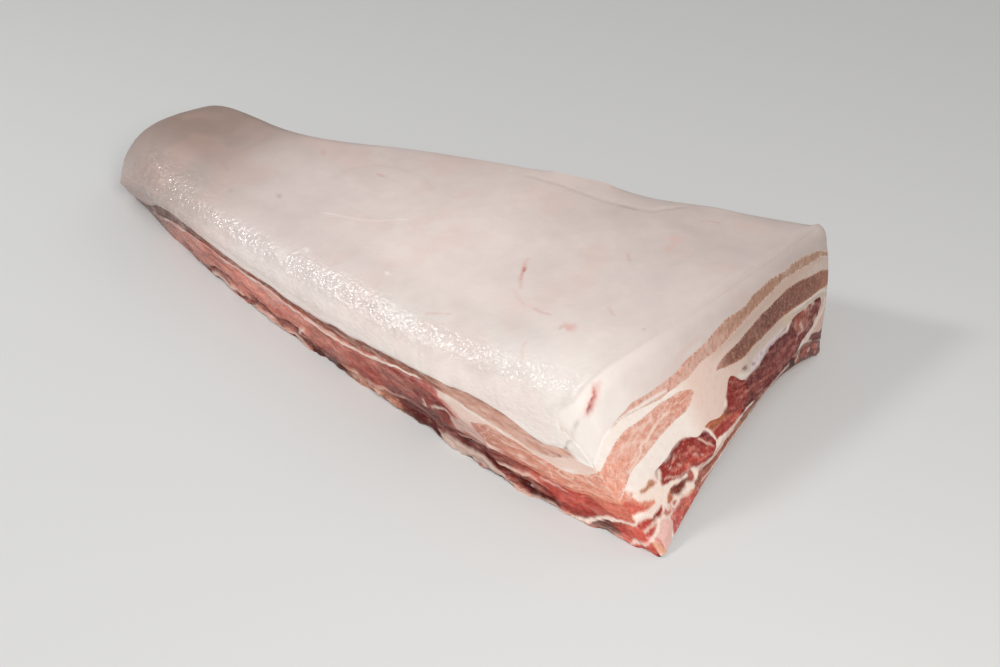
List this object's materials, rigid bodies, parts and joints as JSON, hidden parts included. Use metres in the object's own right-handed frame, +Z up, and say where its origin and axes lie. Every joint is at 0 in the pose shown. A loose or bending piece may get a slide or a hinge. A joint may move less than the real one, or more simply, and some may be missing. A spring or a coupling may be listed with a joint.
{
  "type": "raw pork sparerib slab with belly fat",
  "caption": "Raw skinless slab of pork spareribs and belly: thick fat on top, lean layers showing at the cut sides, a sloping sawn face at the wide end.",
  "frame": {"origin": "centre of the bounding box at the plane the slab lies on", "axes": "+X from the narrow rounded nose towards the wide sawn face, +Y from the near long side towards the far one, +Z up through the fat"},
  "size_m": [0.5085, 0.2328, 0.08],
  "materials": {
    "fat_cap": "moist pinkish-white fat with a soft gloss",
    "upper_lean": "moist tan-brown lean in short segments",
    "seam_fat": "cream seam fat, freshly cut",
    "middle_lean_far": "moist brown lean",
    "middle_lean_near": "moist pale pink lean with fine marbling",
    "deep_lean": "wet dark red lean with white fascia",
    "rib_sheet": "wet pale membrane over the ribs",
    "rib_tip": "smooth pinkish-white gristle"
  },
  "bodies": {
    "root": {"fat_cap": "fat_cap", "upper_lean": "upper_lean", "seam_fat": "seam_fat", "middle_lean_far": "middle_lean_far", "middle_lean_near": "middle_lean_near", "deep_lean": "deep_lean", "rib_sheet": "rib_sheet", "rib_tip": "rib_tip"}
  },
  "joints": []
}
